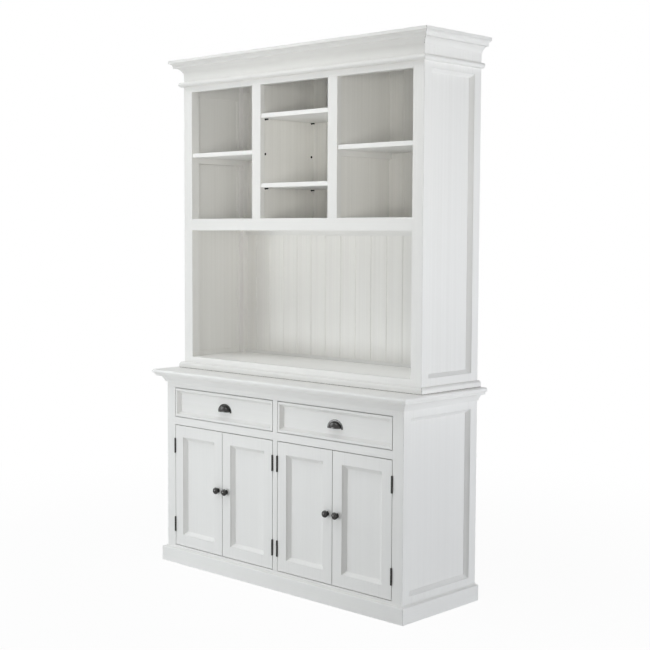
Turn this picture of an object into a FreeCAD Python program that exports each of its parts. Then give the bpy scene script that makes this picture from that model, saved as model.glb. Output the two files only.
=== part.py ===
"""China cabinet: a painted base with drawers and doors, and an open hutch that stands on it.

X runs to the right, Y runs to the back and Z runs up. The origin is on the floor, under the middle of the
whole outline. All sizes are in millimetres and all angles in degrees.
"""

import FreeCAD, Part
import math
import os

V = FreeCAD.Vector

# Whole cabinet
top_width = 1450.0
top_depth = 497.0
top_overhang = 49.0
base_height = 850.0
total_height = 2196.0
hutch_depth = 348.0
overrun = 5.0
quarter_turn = 90.0
half_turn = 180.0
full_turn = 360.0

# Posts, rails and boards
post_width = 51.5
post_depth = 42.0
side_rail_thickness = 26.0
side_panel_thickness = 6.5
front_rail_thickness = 24.0
board_thickness = 18.0
board_gap = 1.0
back_thickness = 12.0
back_inset = 4.0
back_rebate = 10.0

# The moulded edge round every recessed panel
mould_width = 14.0
mould_depth = 15.5
mould_lip = 1.2
mould_foot = 1.2
mould_turn = 16.0
panel_tongue = 9.0

# Heights of the base front, its recesses and its shelf
base_rail_bottom = 15.3
base_rail_top = 75.3
drawer_rail_height = 33.4
drawer_opening_height = 129.3
base_top_rail_height = 59.9
base_recess_bottom = 95.5
base_recess_drop = 68.0
base_shelf_rise = 5.1

# Other parts of the base
middle_stile_width = 25.3
partition_thickness = 20.0
base_shelf_setback = 26.0
base_pin_front_inset = 33.0
runner_width = 22.0
runner_height = 18.0

# Plinth, with a round and a hollow along its top edge
plinth_thickness = 18.0
plinth_height = 67.5
plinth_flat = 57.5
plinth_round = 5.0
plinth_lip = 2.5
plinth_lip_height = 1.7
plinth_turn = 45.0

# Base top, and the moulding under it with a quarter round above a slightly hollow slope
slab_thickness = 17.0
ledge_overhang = 40.0
ledge_lip = 2.0
ledge_radius = 10.5
slope_foot = 6.5
slope_run = 14.0
slope_rise = 24.5
slope_turn = 25.0

# Doors
door_gap = 2.5
door_thickness = 24.0
door_flat = 49.5
door_panel_thickness = 7.0

# Drawers
drawer_flat = 10.5
drawer_mould_width = 10.0
drawer_wall = 12.0
drawer_box_height = 108.0
drawer_side_gap = 1.6
drawer_back_gap = 28.0
drawer_lift = 0.3
drawer_floor_thickness = 6.0
drawer_floor_height = 10.0
drawer_groove = 6.0

# Butt hinges
hinge_inset = 91.0
hinge_height = 66.0
hinge_leaf_depth = 20.0
hinge_leaf_thickness = 1.5
hinge_leaf_gap = 0.6
barrel_radius = 3.6
barrel_stand_off = 2.6
barrel_relief = 0.4
pin_radius = 1.5
pin_clearance = 0.05
pin_head_radius = 3.0
pin_head_height = 1.2
knuckle_gap = 0.3
knuckle_count = 3

# Door knobs. The reach is that of the head's widest ring
knob_rise = 13.6
knob_radius = 14.2
knob_reach = 14.5
knob_crown = 10.0
knob_hollow = 8.5
knob_shoulder = 55.0
knob_rosette_radius = 9.5
knob_rosette_edge = 1.6
knob_rosette_thickness = 3.4
knob_stem_radius = 4.6
knob_stud_radius = 2.0
knob_stud_length = 14.0
knob_stud_clearance = 0.1

# Cup pulls, measured from the level of their lower edge
pull_radius = 40.5
pull_height = 33.0
pull_drop = 14.0
pull_flange = 2.5
pull_flange_round = 1.0
pull_dome_radius = 32.5
pull_reach = 21.0
pull_wall = 2.2
pull_foot_radius = 4.0
pull_shoulder = 60.0

# Magnetic catches
catch_width = 56.0
catch_depth = 13.0
catch_height = 44.0
catch_drop = 8.0
catch_clearance = 0.3

# Heights of the hutch front, its recesses and its shelves
hutch_bottom_rail_height = 51.3
hutch_middle_rail_height = 50.8
hutch_top_rail_height = 137.8
hutch_recess_rise = 56.5
hutch_recess_drop = 139.0
cubby_height = 549.9
side_shelf_rise = 284.2
upper_shelf_rise = 432.1
lower_shelf_rise = 145.3

# Other parts of the hutch
bay_half_width = 191.5
mullion_width = 50.5
divider_thickness = 22.0
shelf_setback = 4.0
cleat_height = 24.0
back_rail_thickness = 10.0
lower_back_rail_height = 13.0
upper_back_rail_height = 52.3

# Shelf pins
shelf_pin_radius = 3.0
shelf_pin_reach = 16.0
shelf_pin_depth = 9.0
shelf_pin_flange_radius = 4.5
shelf_pin_flange = 0.8
shelf_pin_front_inset = 42.0
shelf_pin_back_inset = 29.0

# Grooves between the boards of the hutch back
groove_pitch = 86.8
groove_width = 6.0
groove_depth = 3.0

# Moulding at the foot of the hutch
foot_gap = 1.0
foot_overhang = 17.5
foot_height = 25.0
foot_radius = 11.0

# Bead and crown moulding
bead_overhang = 18.0
bead_drop = 113.5
bead_radius = 10.5
crown_height = 54.5
crown_fillet = 2.0
crown_slope = 20.5
crown_slope_turn = 35.0
crown_step_overhang = 34.0
crown_step_height = 9.5
crown_lip_height = 12.0
crown_lip_turn = 50.0

# Places that follow from the sizes above
half_body = top_width / 2 - top_overhang
half_inside = half_body - post_width
half_middle = middle_stile_width / 2
half_partition = partition_thickness / 2
half_back = half_inside + back_rebate
panel_face = half_body - mould_depth
rail_back = half_body - side_rail_thickness
back_y = top_depth / 2
back_panel_front = back_y - back_inset - back_thickness
base_front = -top_depth / 2 + top_overhang
hutch_front = back_y - hutch_depth
slab_bottom = base_height - slab_thickness
top_rail_bottom = slab_bottom - base_top_rail_height
drawer_rail_top = top_rail_bottom - drawer_opening_height
drawer_rail_bottom = drawer_rail_top - drawer_rail_height
base_recess_top = slab_bottom - base_recess_drop
bay_floor = base_height + hutch_bottom_rail_height
cubby_ceiling = total_height - hutch_top_rail_height
cubby_floor = cubby_ceiling - cubby_height
bay_ceiling = cubby_floor - hutch_middle_rail_height
hutch_recess_bottom = base_height + hutch_recess_rise
hutch_recess_top = total_height - hutch_recess_drop
side_shelf_top = cubby_floor + side_shelf_rise
upper_shelf_top = cubby_floor + upper_shelf_rise
lower_shelf_top = cubby_floor + lower_shelf_rise
mullion_outer = bay_half_width + mullion_width
divider_inner = bay_half_width + (mullion_width - divider_thickness) / 2
divider_outer = divider_inner + divider_thickness
door_bottom = base_rail_top + door_gap
door_top = drawer_rail_bottom - door_gap
door_middle = (door_bottom + door_top) / 2
door_width = (half_inside - half_middle - 3 * door_gap) / 2
base_shelf_top = door_middle + base_shelf_rise
knob_height = door_middle + knob_rise
axis_y = base_front - barrel_stand_off

# A door's number, the x of its hinge axis, and +1 where it lies to the right of the axis or -1 to the left
doors = [
    (1, -half_inside + door_gap / 2, 1),
    (2, -half_middle - door_gap / 2, -1),
    (3, half_middle + door_gap / 2, 1),
    (4, half_inside - door_gap / 2, -1),
]


def box(x0, x1, y0, y1, z0, z1):
    """Makes a block from its limits along each axis."""
    return Part.makeBox(x1 - x0, y1 - y0, z1 - z0, V(x0, y0, z0))


def mirrored(shape):
    """Gives the copy of a piece on the other side of the middle plane."""
    return shape.mirror(V(0, 0, 0), V(1, 0, 0))


def save(name, *shapes):
    """Writes the solids of one node to its file."""
    solids = [solid for shape in shapes for solid in shape.Solids]
    whole = solids[0] if len(solids) == 1 else Part.makeCompound(solids)
    whole.exportStep("parts/" + name + ".step")


def outline(points, place):
    """Makes a flat face. A point (a, b) ends a line, and a point (a, b, turn) ends an arc.

    The turn is the arc's angle, and it is positive where the arc bends to the left.
    """
    edges = []
    for before, after in zip(points[-1:] + points[:-1], points):
        start = place(before[0], before[1])
        end = place(after[0], after[1])
        if len(after) == 2:
            edges.append(Part.makeLine(start, end))
            continue
        bulge = math.tan(math.radians(after[2]) / 4) / 2
        middle_a = (before[0] + after[0]) / 2 + bulge * (after[1] - before[1])
        middle_b = (before[1] + after[1]) / 2 - bulge * (after[0] - before[0])
        edges.append(Part.Arc(start, place(middle_a, middle_b), end).toShape())
    return Part.Face(Part.Wire(edges))


def area(corners, low, high):
    """Makes an upright block from the corners of its plan."""
    ring = [V(x, y, low) for x, y in corners + corners[:1]]
    return Part.Face(Part.makePolygon(ring)).extrude(V(0, 0, high - low))


def mitred_run(points, reach, front_y):
    """Makes a moulding round the front and both sides, as three pieces with mitred corners.

    Each point of its section gives how far it stands out from the body, and its height.
    """
    far = reach + overrun
    low = min(point[1] for point in points) - overrun
    high = max(point[1] for point in points) + overrun
    depth = back_y - front_y + far
    width = 2 * (half_body + far)
    side = outline(points, lambda a, z: V(half_body + a, front_y - far, z)).extrude(V(0, depth, 0))
    front = outline(points, lambda a, z: V(-half_body - far, front_y - a, z)).extrude(V(width, 0, 0))
    corner = (half_body, front_y)
    tip = (half_body + far, front_y - far)
    side_plan = [corner, tip, (tip[0], back_y), (half_body, back_y)]
    front_plan = [corner, tip, (-tip[0], tip[1]), (-half_body, front_y)]
    right = side.common(area(side_plan, low, high))
    middle = front.common(area(front_plan, low, high))
    return [middle, mirrored(right), right]


def recess(u0, u1, z0, z1, surface, width):
    """Makes the space of a moulded recess in a surface that looks along -Y.

    From the surface its edge steps in by a lip, falls in a slight hollow and ends in a step on the panel.
    """

    def section(low, high, place):
        points = [
            (low, -overrun),
            (high, -overrun),
            (high, mould_lip),
            (high - width, mould_depth - mould_foot, mould_turn),
            (high - width, mould_depth),
            (low + width, mould_depth),
            (low + width, mould_depth - mould_foot),
            (low, mould_lip, mould_turn),
        ]
        return outline(points, place)

    across = section(u0, u1, lambda u, d: V(u, surface + d, z0)).extrude(V(0, 0, z1 - z0))
    along = section(z0, z1, lambda z, d: V(u0, surface + d, z)).extrude(V(u1 - u0, 0, 0))
    return across.common(along)


def side_panel(front_y, z0, z1):
    """Makes the right-hand side panel, which reaches into a rebate of its frame all round."""
    out = mould_width - panel_tongue
    y0 = front_y + post_depth + out
    y1 = back_y - post_depth - out
    return box(panel_face - side_panel_thickness, panel_face, y0, y1, z0 + out, z1 - out)


def side_frame(front_y, z0, z1, recess_z0, recess_z1):
    """Makes the right-hand side frame: two posts and two rails, glued up as one frame."""
    y0 = front_y + post_depth
    y1 = back_y - post_depth
    far = half_body + overrun
    frame = box(rail_back, half_body, front_y, back_y, z0, z1)
    frame = frame.fuse(box(half_inside, half_body, front_y, y0, z0, z1))
    frame = frame.fuse(box(half_inside, half_body, y1, back_y, z0, z1))
    hole_z0 = recess_z0 + mould_width
    hole_z1 = recess_z1 - mould_width
    frame = frame.cut(box(half_inside, far, y0 + mould_width, y1 - mould_width, hole_z0, hole_z1))
    space = recess(y0, y1, recess_z0, recess_z1, 0, mould_width)
    space.rotate(V(0, 0, 0), V(0, 0, 1), quarter_turn)
    space.translate(V(half_body, 0, 0))
    frame = frame.cut(space)
    frame = frame.cut(side_panel(front_y, recess_z0, recess_z1))
    frame = frame.cut(box(half_inside, half_back, back_panel_front, back_y, z0, z1))
    return frame.removeSplitter()


def winged_board(front_y, z0, z1):
    """Makes a level board inside the body, with wings that reach the side rails between the posts."""
    middle = box(-half_inside, half_inside, front_y + front_rail_thickness, back_panel_front, z0, z1)
    wings = box(-rail_back, rail_back, front_y + post_depth, back_y - post_depth, z0, z1)
    return middle.fuse(wings).removeSplitter()


def peg(x, y, z, length):
    """Makes a straight peg, or the hole for a shelf pin, from a point along +X."""
    return Part.makeCylinder(shelf_pin_radius, length, V(x, y, z), V(1, 0, 0))


def shelf_pin(surface, side, y, z):
    """Makes a shelf pin in a surface that looks along X, to the right where side is +1 or the left at -1."""
    start, end = sorted((surface - side * shelf_pin_depth, surface + side * shelf_pin_reach))
    flange_x = min(surface, surface + side * shelf_pin_flange)
    flange = Part.makeCylinder(shelf_pin_flange_radius, shelf_pin_flange, V(flange_x, y, z), V(1, 0, 0))
    return peg(start, y, z, end - start).fuse(flange).removeSplitter()


def hinge_places():
    """Gives the bottom heights of the two hinges of a door."""
    return [door_bottom + hinge_inset - hinge_height / 2, door_top - hinge_inset - hinge_height / 2]


def knuckles(z):
    """Gives the bottom and top of each knuckle of the hinge that starts at z."""
    low = z + pin_head_height
    step = (hinge_height - 2 * pin_head_height) / knuckle_count
    bottoms = [low + n * step for n in range(knuckle_count)]
    return [(bottom + knuckle_gap / 2, bottom + step - knuckle_gap / 2) for bottom in bottoms]


def hinge_plate(near, z):
    """Makes the flat plate of a hinge leaf, from a distance beside the axis."""
    far = hinge_leaf_gap / 2 + hinge_leaf_thickness
    low = z + pin_head_height
    high = z + hinge_height - pin_head_height
    return box(near, far, 0, barrel_stand_off + hinge_leaf_depth, low, high)


def hinge_leaf(z, own):
    """Makes a leaf to the right of the z axis. own lists the knuckles that it carries."""
    leaf = hinge_plate(hinge_leaf_gap / 2, z)
    for n, (z0, z1) in enumerate(knuckles(z)):
        if n in own:
            leaf = leaf.fuse(Part.makeCylinder(barrel_radius, z1 - z0, V(0, 0, z0)))
        else:
            height = z1 - z0 + 2 * knuckle_gap
            room = Part.makeCylinder(barrel_radius + barrel_relief, height, V(0, 0, z0 - knuckle_gap))
            leaf = leaf.cut(room)
    return leaf.cut(Part.makeCylinder(pin_radius + pin_clearance, hinge_height, V(0, 0, z)))


def hinge_room(z):
    """Makes the space that the barrel and a leaf to the right of the z axis need in the wood."""
    height = hinge_height + 2 * barrel_relief
    barrel = Part.makeCylinder(barrel_radius + barrel_relief, height, V(0, 0, z - barrel_relief))
    return hinge_plate(0, z).fuse(barrel)


def hinge_pin(z):
    """Makes a hinge pin with a flat head at each end."""
    pin = Part.makeCylinder(pin_radius, hinge_height, V(0, 0, z))
    for head_z in (z, z + hinge_height - pin_head_height):
        pin = pin.fuse(Part.makeCylinder(pin_head_radius, pin_head_height, V(0, 0, head_z)))
    return pin.removeSplitter()


def at_axis(shape, axis_x, side):
    """Moves a hinge piece to a door's axis, turned over where it lies to the left of the axis."""
    placed = shape.copy() if side > 0 else mirrored(shape)
    placed.translate(V(axis_x, axis_y, 0))
    return placed


def cut_for_hinges(shape, hung_doors):
    """Cuts a post or stile for the hinges of the doors that hang on it."""
    for _, axis_x, side in hung_doors:
        for z in hinge_places():
            shape = shape.cut(at_axis(hinge_room(z), axis_x, -side))
    return shape.removeSplitter()


def make_plinth():
    """Writes the plinth boards."""
    points = [
        (0, 0),
        (plinth_thickness, 0),
        (plinth_thickness, plinth_flat),
        (plinth_thickness - plinth_round, plinth_flat + plinth_round, quarter_turn),
        (plinth_lip, plinth_height - plinth_lip_height, -plinth_turn),
        (plinth_lip, plinth_height),
        (0, plinth_height),
    ]
    save("plinth_boards", *mitred_run(points, plinth_thickness, base_front))


def make_base_sides():
    """Writes the side frames and side panels of the base."""
    frame = side_frame(base_front, 0, slab_bottom, base_recess_bottom, base_recess_top)
    for y in base_pin_places:
        frame = frame.cut(peg(half_inside, y, base_pin_z, shelf_pin_depth))
    frame = cut_for_hinges(frame, doors[-1:])
    panel = side_panel(base_front, base_recess_bottom, base_recess_top)
    save("base_side_frame_right", frame)
    save("base_side_frame_left", mirrored(frame))
    save("base_side_panels", panel, mirrored(panel))


def make_base_front():
    """Writes the middle stile and the front rails. The stile and the drawer rail lap half and half."""
    y0 = base_front
    y1 = base_front + front_rail_thickness
    lap = base_front + front_rail_thickness / 2
    stile = box(-half_middle, half_middle, y0, y1, base_rail_top, top_rail_bottom)
    stile = stile.cut(box(-half_middle, half_middle, lap, y1, drawer_rail_bottom, drawer_rail_top))
    save("base_middle_stile", cut_for_hinges(stile, doors[1:3]))
    bottom = box(-half_inside, half_inside, y0, y1, base_rail_bottom, base_rail_top)
    middle = box(-half_inside, half_inside, y0, y1, drawer_rail_bottom, drawer_rail_top)
    middle = middle.cut(box(-half_middle, half_middle, y0, lap, drawer_rail_bottom, drawer_rail_top))
    top = box(-half_inside, half_inside, y0, y1, top_rail_bottom, slab_bottom)
    save("base_front_rails", bottom, middle, top)


def make_base_inside():
    """Writes the boards, shelves, runners and catches inside the base."""
    y0 = base_front + front_rail_thickness
    board_bottom = base_rail_top - board_thickness
    save("base_bottom_board", winged_board(base_front, board_bottom, base_rail_top))
    partition = box(-half_partition, half_partition, y0, back_panel_front, base_rail_top, slab_bottom)
    for y in base_pin_places:
        partition = partition.cut(peg(-half_partition, y, base_pin_z, shelf_pin_depth))
        partition = partition.cut(peg(half_partition - shelf_pin_depth, y, base_pin_z, shelf_pin_depth))
    save("base_partition", partition)
    back = box(-half_back, half_back, back_panel_front, back_y - back_inset, board_bottom, slab_bottom)
    save("base_back_panel", back)
    x0 = half_partition + board_gap
    x1 = half_inside - board_gap
    shelf_y0 = base_front + base_shelf_setback
    shelf_y1 = back_panel_front - board_gap
    shelf = box(x0, x1, shelf_y0, shelf_y1, base_shelf_top - board_thickness, base_shelf_top)
    save("base_shelves", shelf, mirrored(shelf))
    runners = []
    for x in (half_partition, half_inside - runner_width):
        z = drawer_rail_top - runner_height
        runner = box(x, x + runner_width, y0, back_panel_front, z, drawer_rail_top)
        runners += [runner, mirrored(runner)]
    save("drawer_runners", *runners)
    middle = (half_middle + half_inside) / 2
    x0 = middle - catch_width / 2
    z = drawer_rail_top - catch_drop - catch_height
    catch = box(x0, x0 + catch_width, y0 + catch_clearance, y0 + catch_depth, z, z + catch_height)
    save("door_catches", catch, mirrored(catch))


def make_base_top():
    """Writes the base top, with three rounded edges, and the moulding under it."""
    radius = slab_thickness / 2
    reach = top_width / 2
    long_section = [
        (-reach + radius, slab_bottom, half_turn),
        (reach - radius, slab_bottom),
        (reach - radius, base_height, half_turn),
        (-reach + radius, base_height),
    ]
    short_section = [
        (-back_y + radius, slab_bottom, half_turn),
        (back_y, slab_bottom),
        (back_y, base_height),
        (-back_y + radius, base_height),
    ]
    slab = outline(long_section, lambda a, z: V(a, -back_y, z)).extrude(V(0, top_depth, 0))
    slab = slab.common(outline(short_section, lambda a, z: V(-reach, a, z)).extrude(V(top_width, 0, 0)))
    save("base_top", slab)
    ledge_top = slab_bottom - ledge_lip
    ledge_bottom = ledge_top - ledge_radius
    points = [
        (0, slab_bottom),
        (0, ledge_bottom - slope_rise),
        (slope_foot, ledge_bottom - slope_rise),
        (slope_foot + slope_run, ledge_bottom, -slope_turn),
        (ledge_overhang - ledge_radius, ledge_bottom),
        (ledge_overhang, ledge_top, quarter_turn),
        (ledge_overhang, slab_bottom),
    ]
    save("base_top_moulding", *mitred_run(points, ledge_overhang, base_front))


def make_hinges():
    """Writes the leaves and pins of all hinges. The outer knuckles belong to the frame leaves."""
    frame_leaves = []
    pins = []
    for number, axis_x, side in doors:
        door_leaves = []
        for z in hinge_places():
            frame_leaves.append(at_axis(hinge_leaf(z, [0, 2]), axis_x, -side))
            door_leaves.append(at_axis(hinge_leaf(z, [1]), axis_x, side))
            pins.append(at_axis(hinge_pin(z), axis_x, side))
        save("door_%d_hinge_leaves" % number, *door_leaves)
    save("hinge_frame_leaves", *frame_leaves)
    save("hinge_pins", *pins)


def dome_shoulder(half_width, height, shoulder):
    """Gives the point where the tight and the flat arc of a dome's section meet smoothly.

    The tight arc, at the rim, turns by the shoulder's angle, and the flat arc by the rest of a right angle.
    """
    angle = math.radians(shoulder)
    slope = (1 - math.sin(angle)) / math.cos(angle)
    radius = (height - slope * half_width) / (math.sin(angle) - slope * (1 - math.cos(angle)))
    return half_width - radius * (1 - math.cos(angle)), radius * math.sin(angle)


def knob(x):
    """Makes a domed knob on a turned rosette, with the stud that holds it in the door."""
    back_turn = 2 * math.degrees(math.atan((knob_radius - knob_stem_radius) / knob_hollow))
    crown_r, crown_h = dome_shoulder(knob_radius, knob_crown, knob_shoulder)
    points = [
        (0, -knob_stud_length),
        (knob_stud_radius, -knob_stud_length),
        (knob_stud_radius, 0),
        (knob_rosette_radius, 0),
        (knob_rosette_radius, knob_rosette_edge),
        (knob_stem_radius, knob_rosette_thickness),
        (knob_stem_radius, knob_reach - knob_hollow),
        (knob_radius, knob_reach, back_turn),
        (crown_r, knob_reach + crown_h, knob_shoulder),
        (0, knob_reach + knob_crown, quarter_turn - knob_shoulder),
    ]
    section = outline(points, lambda r, out: V(x + r, base_front - out, knob_height))
    return section.revolve(V(x, base_front, knob_height), V(0, 1, 0), full_turn)


def make_doors():
    """Writes the frame, panel and knob of each door."""
    y1 = base_front + door_thickness
    z0 = door_bottom + door_flat
    z1 = door_top - door_flat
    out = mould_width - panel_tongue
    panel_y = base_front + mould_depth
    for number, axis_x, side in doors:
        near = axis_x + side * door_gap / 2
        x0, x1 = sorted((near, near + side * door_width))
        u0 = x0 + door_flat
        u1 = x1 - door_flat
        frame = box(x0, x1, base_front, y1, door_bottom, door_top)
        hole_z0 = z0 + mould_width
        hole_z1 = z1 - mould_width
        frame = frame.cut(box(u0 + mould_width, u1 - mould_width, base_front, y1, hole_z0, hole_z1))
        frame = frame.cut(recess(u0, u1, z0, z1, base_front, mould_width))
        panel = box(u0 + out, u1 - out, panel_y, panel_y + door_panel_thickness, z0 + out, z1 - out)
        frame = frame.cut(panel)
        for z in hinge_places():
            frame = frame.cut(at_axis(hinge_room(z), axis_x, side))
        knob_x = near + side * (door_width - door_flat / 2)
        hole_radius = knob_stud_radius + knob_stud_clearance
        hole_depth = knob_stud_length + knob_stud_clearance
        hole_place = V(knob_x, base_front, knob_height)
        frame = frame.cut(Part.makeCylinder(hole_radius, hole_depth, hole_place, V(0, 1, 0)))
        save("door_%d_frame" % number, frame.removeSplitter())
        save("door_%d_panel" % number, panel)
        save("door_%d_knob" % number, knob(knob_x))


def cup_pull(x, surface, z):
    """Makes a hollow cup pull, open below, on a flat arched flange with two small feet.

    It is turned as half of a round dome, which is then pressed down to its height.
    """
    hollow_radius = pull_dome_radius - pull_wall
    hollow_reach = pull_reach - pull_wall
    outer_r, outer_h = dome_shoulder(pull_dome_radius, pull_reach - pull_flange, pull_shoulder)
    inner_r, inner_h = dome_shoulder(hollow_radius, hollow_reach, pull_shoulder)
    crown_turn = quarter_turn - pull_shoulder
    points = [
        (hollow_radius, 0, -pull_shoulder),
        (pull_radius, 0),
        (pull_radius, pull_flange - pull_flange_round),
        (pull_radius - pull_flange_round, pull_flange, quarter_turn),
        (pull_dome_radius, pull_flange),
        (outer_r, pull_flange + outer_h, pull_shoulder),
        (0, pull_reach, crown_turn),
        (0, hollow_reach),
        (inner_r, inner_h, -crown_turn),
    ]
    section = outline(points, lambda r, out: V(x + r, surface - out, 0))
    pull = section.revolve(V(x, surface, 0), V(0, -1, 0), half_turn)
    press = FreeCAD.Matrix()
    press.scale(1, 1, pull_height / pull_radius)
    pull = pull.transformGeometry(press)
    pull.translate(V(0, 0, z))
    for side in (-1, 1):
        foot_x = x + side * (pull_radius - pull_foot_radius)
        pull = pull.fuse(Part.makeCylinder(pull_foot_radius, pull_flange, V(foot_x, surface, z), V(0, -1, 0)))
    return pull.removeSplitter()


def make_drawers():
    """Writes the front, box, floor and pull of each drawer."""
    y1 = base_front + door_thickness
    y2 = back_panel_front - drawer_back_gap
    z0 = drawer_rail_top + door_gap
    z1 = top_rail_bottom - door_gap
    box_z = drawer_rail_top + drawer_lift
    floor_z = box_z + drawer_floor_height
    into = drawer_wall - drawer_groove
    for name, x0, x1 in (("left", -half_inside, -half_middle), ("right", half_middle, half_inside)):
        front = box(x0 + door_gap, x1 - door_gap, base_front, y1, z0, z1)
        u0 = x0 + door_gap + drawer_flat
        u1 = x1 - door_gap - drawer_flat
        space = recess(u0, u1, z0 + drawer_flat, z1 - drawer_flat, base_front, drawer_mould_width)
        front = front.cut(space)
        save("drawer_%s_front" % name, front)
        b0 = x0 + drawer_side_gap
        b1 = x1 - drawer_side_gap
        walls = box(b0, b1, y1, y2, box_z, box_z + drawer_box_height)
        inside = (b0 + drawer_wall, b1 - drawer_wall, y1 + drawer_wall, y2 - drawer_wall)
        walls = walls.cut(box(*inside, box_z, box_z + drawer_box_height))
        floor = box(b0 + into, b1 - into, y1 + into, y2 - into, floor_z, floor_z + drawer_floor_thickness)
        save("drawer_%s_box" % name, walls.cut(floor))
        save("drawer_%s_bottom" % name, floor)
        pull_z = (z0 + z1) / 2 - pull_drop
        save("drawer_%s_pull" % name, cup_pull((x0 + x1) / 2, base_front + mould_depth, pull_z))


def make_hutch_sides():
    """Writes the side frames and side panels of the hutch."""
    frame = side_frame(hutch_front, base_height, total_height, hutch_recess_bottom, hutch_recess_top)
    panel = side_panel(hutch_front, hutch_recess_bottom, hutch_recess_top)
    save("hutch_side_frame_right", frame)
    save("hutch_side_frame_left", mirrored(frame))
    save("hutch_side_panels", panel, mirrored(panel))


def make_hutch_front():
    """Writes the rails and mullions of the hutch front."""
    y0 = hutch_front
    y1 = hutch_front + front_rail_thickness
    save("hutch_bottom_rail", box(-half_inside, half_inside, y0, y1, base_height, bay_floor))
    save("hutch_middle_rail", box(-half_inside, half_inside, y0, y1, bay_ceiling, cubby_floor))
    save("hutch_top_rail", box(-half_inside, half_inside, y0, y1, cubby_ceiling, total_height))
    mullion = box(bay_half_width, mullion_outer, y0, y1, cubby_floor, cubby_ceiling)
    save("hutch_mullions", mullion, mirrored(mullion))


def side_shelf():
    """Makes the right-hand shelf, notched round the posts and the mullion."""
    z0 = side_shelf_top - board_thickness
    z1 = side_shelf_top
    x0 = mullion_outer + board_gap
    x1 = half_inside - board_gap
    y1 = back_panel_front - board_gap
    shelf = box(x0, x1, hutch_front + shelf_setback, y1, z0, z1)
    behind = hutch_front + front_rail_thickness + board_gap
    shelf = shelf.fuse(box(divider_outer + board_gap, x0, behind, y1, z0, z1))
    wing_y0 = hutch_front + post_depth + board_gap
    wing_y1 = back_y - post_depth - board_gap
    return shelf.fuse(box(x1, rail_back - board_gap, wing_y0, wing_y1, z0, z1)).removeSplitter()


def middle_shelf(top):
    """Makes a middle shelf, notched round the mullions."""
    half = bay_half_width - board_gap
    wide = divider_inner - board_gap
    y1 = back_panel_front - board_gap
    shelf = box(-half, half, hutch_front + shelf_setback, y1, top - board_thickness, top)
    behind = hutch_front + front_rail_thickness + board_gap
    return shelf.fuse(box(-wide, wide, behind, y1, top - board_thickness, top)).removeSplitter()


def make_hutch_inside():
    """Writes the boards, dividers, shelves and cleats of the hutch."""
    y0 = hutch_front + front_rail_thickness
    roof_bottom = total_height - board_thickness
    save("hutch_bottom_board", winged_board(hutch_front, bay_floor - board_thickness, bay_floor))
    save("hutch_deck", winged_board(hutch_front, cubby_floor - board_thickness, cubby_floor))
    save("hutch_roof", winged_board(hutch_front, roof_bottom, total_height))
    divider = box(divider_inner, divider_outer, y0, back_panel_front, cubby_floor, roof_bottom)
    for y in hutch_pin_places:
        for z in hutch_pin_heights + [sum(hutch_pin_heights) / len(hutch_pin_heights)]:
            divider = divider.cut(peg(divider_inner, y, z, shelf_pin_depth))
    save("hutch_dividers", divider, mirrored(divider))
    shelf = side_shelf()
    save("hutch_side_shelves", shelf, mirrored(shelf))
    save("hutch_middle_shelves", middle_shelf(upper_shelf_top), middle_shelf(lower_shelf_top))
    cleat_top = side_shelf_top - board_thickness
    cleat_bottom = cleat_top - cleat_height
    wing_y0 = hutch_front + post_depth
    wing_y1 = back_y - post_depth
    outer = box(half_inside, rail_back, wing_y0, wing_y1, cleat_bottom, cleat_top)
    inner = box(divider_outer, mullion_outer, y0, back_panel_front, cleat_bottom, cleat_top)
    save("shelf_cleats", outer, mirrored(outer), inner, mirrored(inner))


def make_hutch_back():
    """Writes the grooved back panel and the two rails in front of it."""
    panel = box(-half_back, half_back, back_panel_front, back_y - back_inset, base_height, total_height)
    count = int(half_back / groove_pitch)
    for n in range(-count, count):
        x = groove_pitch * (2 * n + 1) / 2
        corners = [
            (x - groove_width / 2, back_panel_front),
            (x + groove_width / 2, back_panel_front),
            (x, back_panel_front + groove_depth),
        ]
        panel = panel.cut(area(corners, base_height, total_height))
    save("hutch_back_panel", panel)
    y0 = back_panel_front - back_rail_thickness
    lower_top = bay_floor + lower_back_rail_height
    upper_top = cubby_floor - board_thickness
    lower = box(-half_inside, half_inside, y0, back_panel_front, bay_floor, lower_top)
    upper_bottom = upper_top - upper_back_rail_height
    upper = box(-half_inside, half_inside, y0, back_panel_front, upper_bottom, upper_top)
    save("hutch_back_rails", lower, upper)


def make_hutch_mouldings():
    """Writes the mouldings at the foot and at the head of the hutch."""
    foot_top = base_height + foot_height
    foot = [
        (0, base_height + foot_gap),
        (foot_overhang, base_height + foot_gap),
        (foot_overhang, foot_top - foot_radius),
        (foot_overhang - foot_radius, foot_top, quarter_turn),
        (0, foot_top),
    ]
    save("hutch_base_moulding", *mitred_run(foot, foot_overhang, hutch_front))
    bead_bottom = total_height - bead_drop
    bead_top = bead_bottom + 2 * bead_radius
    bead = [
        (0, bead_bottom),
        (bead_overhang - bead_radius, bead_bottom),
        (bead_overhang - bead_radius, bead_top, half_turn),
        (0, bead_top),
    ]
    save("bead_moulding", *mitred_run(bead, bead_overhang, hutch_front))
    crown_bottom = total_height - crown_height
    slope_bottom = crown_bottom + crown_fillet
    slope_top = slope_bottom + crown_slope
    crown = [
        (0, crown_bottom),
        (crown_fillet, crown_bottom),
        (crown_fillet, slope_bottom),
        (crown_fillet + crown_slope, slope_top, -crown_slope_turn),
        (crown_step_overhang, slope_top),
        (crown_step_overhang, slope_top + crown_step_height),
        (top_overhang, total_height - crown_lip_height, -crown_lip_turn),
        (top_overhang, total_height),
        (0, total_height),
    ]
    save("crown_moulding", *mitred_run(crown, top_overhang, hutch_front))


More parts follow.
